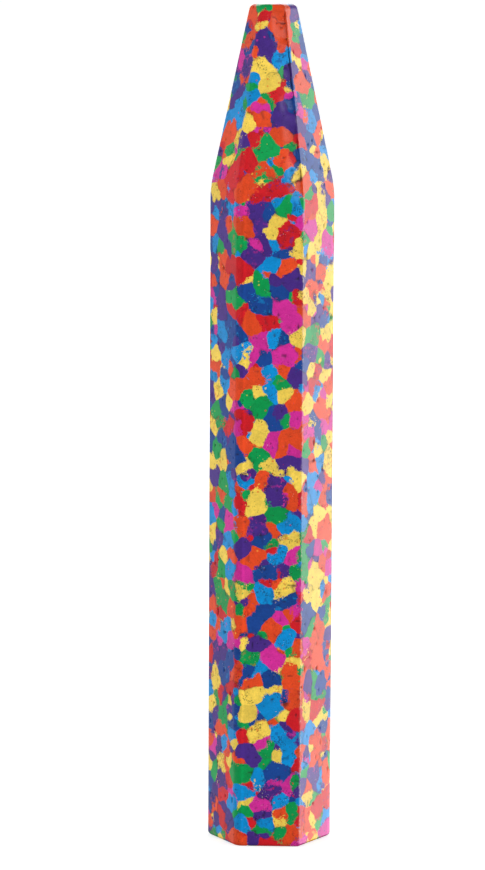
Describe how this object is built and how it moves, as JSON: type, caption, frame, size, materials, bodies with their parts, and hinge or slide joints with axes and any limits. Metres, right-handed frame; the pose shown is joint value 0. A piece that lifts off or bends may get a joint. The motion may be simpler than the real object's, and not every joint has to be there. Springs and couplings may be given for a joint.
{
  "type": "jumbo crayon",
  "caption": "Unwrapped hexagonal jumbo crayon that tapers to a flat six-sided tip, pressed from wax granules of many colours.",
  "frame": {"origin": "middle of the flat base that the crayon stands on", "axes": "+Z along the crayon to its tip, one flat side facing -Y, two long edges on the X axis"},
  "size_m": [0.0188, 0.0166, 0.127],
  "materials": {
    "red_wax": "pressed granules of pigmented wax, satin, with fine pits",
    "green_wax": "pressed granules of pigmented wax, satin, with fine pits",
    "yellow_wax": "pressed granules of pigmented wax, satin, with fine pits",
    "navy_wax": "pressed granules of pigmented wax, satin, with fine pits",
    "orange_wax": "pressed granules of pigmented wax, satin, with fine pits",
    "sky_blue_wax": "pressed granules of pigmented wax, satin, with fine pits",
    "magenta_wax": "pressed granules of pigmented wax, satin, with fine pits",
    "purple_wax": "pressed granules of pigmented wax, satin, with fine pits"
  },
  "bodies": {
    "root": {"red_granules_1": "red_wax", "red_granules_2": "red_wax", "red_granules_3": "red_wax", "red_granules_4": "red_wax", "red_granules_5": "red_wax", "red_granules_6": "red_wax", "red_granules_7": "red_wax", "green_granules_1": "green_wax", "green_granules_2": "green_wax", "green_granules_3": "green_wax", "green_granules_4": "green_wax", "green_granules_5": "green_wax", "green_granules_6": "green_wax", "green_granules_7": "green_wax", "yellow_granules_1": "yellow_wax", "yellow_granules_2": "yellow_wax", "yellow_granules_3": "yellow_wax", "yellow_granules_4": "yellow_wax", "yellow_granules_5": "yellow_wax", "yellow_granules_6": "yellow_wax", "yellow_granules_7": "yellow_wax", "navy_granules_1": "navy_wax", "navy_granules_2": "navy_wax", "navy_granules_3": "navy_wax", "navy_granules_4": "navy_wax", "navy_granules_5": "navy_wax", "navy_granules_6": "navy_wax", "navy_granules_7": "navy_wax", "orange_granules_1": "orange_wax", "orange_granules_2": "orange_wax", "orange_granules_3": "orange_wax", "orange_granules_4": "orange_wax", "orange_granules_5": "orange_wax", "orange_granules_6": "orange_wax", "orange_granules_7": "orange_wax", "sky_blue_granules_1": "sky_blue_wax", "sky_blue_granules_2": "sky_blue_wax", "sky_blue_granules_3": "sky_blue_wax", "sky_blue_granules_4": "sky_blue_wax", "sky_blue_granules_5": "sky_blue_wax", "sky_blue_granules_6": "sky_blue_wax", "sky_blue_granules_7": "sky_blue_wax", "magenta_granules_1": "magenta_wax", "magenta_granules_2": "magenta_wax", "magenta_granules_3": "magenta_wax", "magenta_granules_4": "magenta_wax", "magenta_granules_5": "magenta_wax", "magenta_granules_6": "magenta_wax", "magenta_granules_7": "magenta_wax", "purple_granules_1": "purple_wax", "purple_granules_2": "purple_wax", "purple_granules_3": "purple_wax", "purple_granules_4": "purple_wax", "purple_granules_5": "purple_wax", "purple_granules_6": "purple_wax", "purple_granules_7": "purple_wax"}
  },
  "joints": []
}
